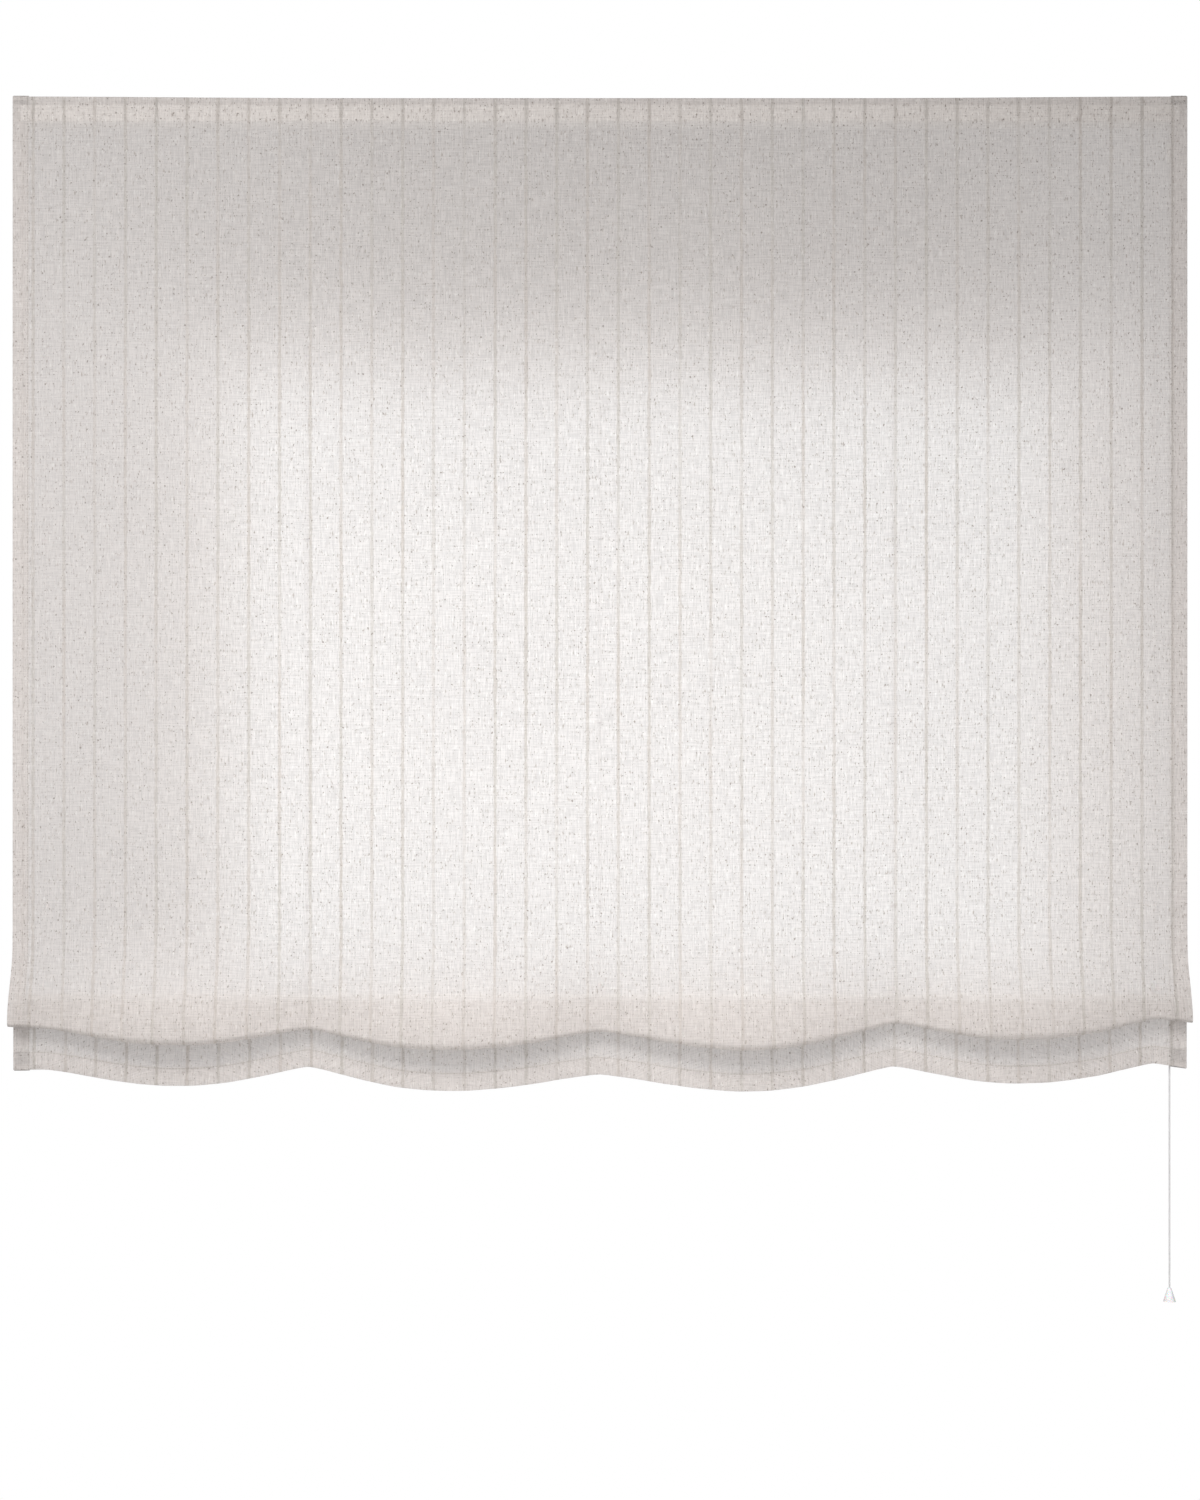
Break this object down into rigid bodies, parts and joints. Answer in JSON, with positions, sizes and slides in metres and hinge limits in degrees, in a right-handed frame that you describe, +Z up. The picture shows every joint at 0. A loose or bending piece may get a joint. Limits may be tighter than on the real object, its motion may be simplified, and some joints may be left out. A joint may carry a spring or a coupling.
{
  "type": "roman blind",
  "caption": "Sheer striped roman blind on a slim headrail, drawn part way up so its hem folds in soft waves, with a pull cord and cone tassel.",
  "frame": {"origin": "in the wall plane at the height of the bracket wall screws, half way along the headrail", "axes": "+X along the headrail to the pull cord side, +Y into the wall, +Z up"},
  "size_m": [1.6, 0.065, 1.643],
  "materials": {
    "slub_cloth": "sheer slub weave with fine beige stripes",
    "white_rail": "satin white powder coat on aluminium",
    "white_plastic": "moulded, satin",
    "roller_plastic": "smooth acetal",
    "clear_plastic": "milky translucent",
    "white_tape": "woven tape",
    "white_cord": "braided polyester",
    "bracket_steel": "white painted steel",
    "bright_steel": "zinc plated",
    "pawl_brass": "knurled",
    "rod_white": "white coated steel rod"
  },
  "bodies": {
    "headrail": {"headrail": "white_rail", "end_cap_left": "white_plastic", "end_cap_right": "white_plastic", "hook_tape": "white_tape", "loop_tape": "white_tape", "cloth": "slub_cloth", "bracket_left": "bracket_steel", "bracket_centre": "bracket_steel", "bracket_right": "bracket_steel", "bracket_rivets": "bright_steel", "cord_guide_1": "white_plastic", "cord_guide_2": "white_plastic", "cord_guide_3": "white_plastic", "cord_guide_4": "white_plastic", "guide_axles": "bright_steel", "lock_housing": "white_plastic", "lock_axles": "bright_steel", "lift_cord_1": "white_cord", "lift_cord_2": "white_cord", "lift_cord_3": "white_cord", "lift_cord_4": "white_cord", "lift_cord_5": "white_cord"},
    "hem": {"rings_row_1": "clear_plastic", "rod_pocket": "white_tape", "weight_rod": "rod_white", "cord_orbs": "clear_plastic"},
    "pull": {"cord_joiner": "white_plastic", "pull_cord": "white_cord", "cone_tassel": "clear_plastic"},
    "pawl": {"lock_pawl": "pawl_brass"},
    "entry_roller": {"lock_entry_roller": "roller_plastic"},
    "exit_roller": {"lock_exit_roller": "roller_plastic"},
    "ring_row_2": {"rings_row_2": "clear_plastic"},
    "ring_row_3": {"rings_row_3": "clear_plastic"},
    "ring_row_4": {"rings_row_4": "clear_plastic"},
    "ring_row_5": {"rings_row_5": "clear_plastic"},
    "roller_1": {"guide_roller_1": "roller_plastic"},
    "roller_2": {"guide_roller_2": "roller_plastic"},
    "roller_3": {"guide_roller_3": "roller_plastic"},
    "roller_4": {"guide_roller_4": "roller_plastic"},
    "lever_left": {"lever_left": "white_plastic"},
    "lever_centre": {"lever_centre": "white_plastic"},
    "lever_right": {"lever_right": "white_plastic"}
  },
  "joints": [
    {"name": "lift", "type": "slide", "parent": "headrail", "child": "hem", "axis": [0, 0, 1], "range_m": [0, 0.95], "deforming": ["cloth", "lift_cord_1", "lift_cord_2", "lift_cord_3", "lift_cord_4", "lift_cord_5"]},
    {"name": "row_5_rise", "type": "slide", "parent": "headrail", "child": "ring_row_5", "axis": [0, 0, 1], "range_m": [0, 0.2523]},
    {"name": "row_4_rise", "type": "slide", "parent": "headrail", "child": "ring_row_4", "axis": [0, 0, 1], "range_m": [0, 0.45096]},
    {"name": "row_3_rise", "type": "slide", "parent": "headrail", "child": "ring_row_3", "axis": [0, 0, 1], "range_m": [0, 0.64962]},
    {"name": "row_2_rise", "type": "slide", "parent": "headrail", "child": "ring_row_2", "axis": [0, 0, 1], "range_m": [0, 0.84829]},
    {"name": "pull_down", "type": "slide", "parent": "headrail", "child": "pull", "axis": [0, 0, -1], "range_m": [0, 0.95]},
    {"name": "roller_1_turn", "type": "hinge", "parent": "headrail", "child": "roller_1", "pos_m": [-0.75135, -0.015, -0.003], "axis": [0, 1, 0], "range_deg": [0, 10888]},
    {"name": "roller_2_turn", "type": "hinge", "parent": "headrail", "child": "roller_2", "pos_m": [-0.39335, -0.015, -0.003], "axis": [0, 1, 0], "range_deg": [0, 10888]},
    {"name": "roller_3_turn", "type": "hinge", "parent": "headrail", "child": "roller_3", "pos_m": [0.00565, -0.015, -0.003], "axis": [0, 1, 0], "range_deg": [0, 10888]},
    {"name": "roller_4_turn", "type": "hinge", "parent": "headrail", "child": "roller_4", "pos_m": [0.40465, -0.015, -0.003], "axis": [0, 1, 0], "range_deg": [0, 10888]},
    {"name": "entry_roller_turn", "type": "hinge", "parent": "headrail", "child": "entry_roller", "pos_m": [0.76165, -0.015, -0.002], "axis": [0, 1, 0], "range_deg": [0, 13609]},
    {"name": "exit_roller_turn", "type": "hinge", "parent": "headrail", "child": "exit_roller", "pos_m": [0.77535, -0.015, -0.002], "axis": [0, 1, 0], "range_deg": [0, 13609]},
    {"name": "pawl_slide", "type": "slide", "parent": "headrail", "child": "pawl", "axis": [-0.5, 0, 0.866], "range_m": [0, 0.0025]},
    {"name": "lever_left_turn", "type": "hinge", "parent": "headrail", "child": "lever_left", "pos_m": [-0.592, -0.017, 0.01], "axis": [0, 0, -1], "range_deg": [0, 90]},
    {"name": "lever_centre_turn", "type": "hinge", "parent": "headrail", "child": "lever_centre", "pos_m": [0.008, -0.017, 0.01], "axis": [0, 0, -1], "range_deg": [0, 90]},
    {"name": "lever_right_turn", "type": "hinge", "parent": "headrail", "child": "lever_right", "pos_m": [0.608, -0.017, 0.01], "axis": [0, 0, -1], "range_deg": [0, 90]}
  ],
  "couplings": [
    {"joint": "row_5_rise", "follows": "lift", "ratio": 0.26558},
    {"joint": "row_4_rise", "follows": "lift", "ratio": 0.4747},
    {"joint": "row_3_rise", "follows": "lift", "ratio": 0.68381},
    {"joint": "row_2_rise", "follows": "lift", "ratio": 0.89293},
    {"joint": "pull_down", "follows": "lift", "ratio": 1},
    {"joint": "roller_1_turn", "follows": "lift", "rad_per_m": 200},
    {"joint": "roller_2_turn", "follows": "lift", "rad_per_m": 200},
    {"joint": "roller_3_turn", "follows": "lift", "rad_per_m": 200},
    {"joint": "roller_4_turn", "follows": "lift", "rad_per_m": 200},
    {"joint": "entry_roller_turn", "follows": "lift", "rad_per_m": 250},
    {"joint": "exit_roller_turn", "follows": "lift", "rad_per_m": 250}
  ]
}
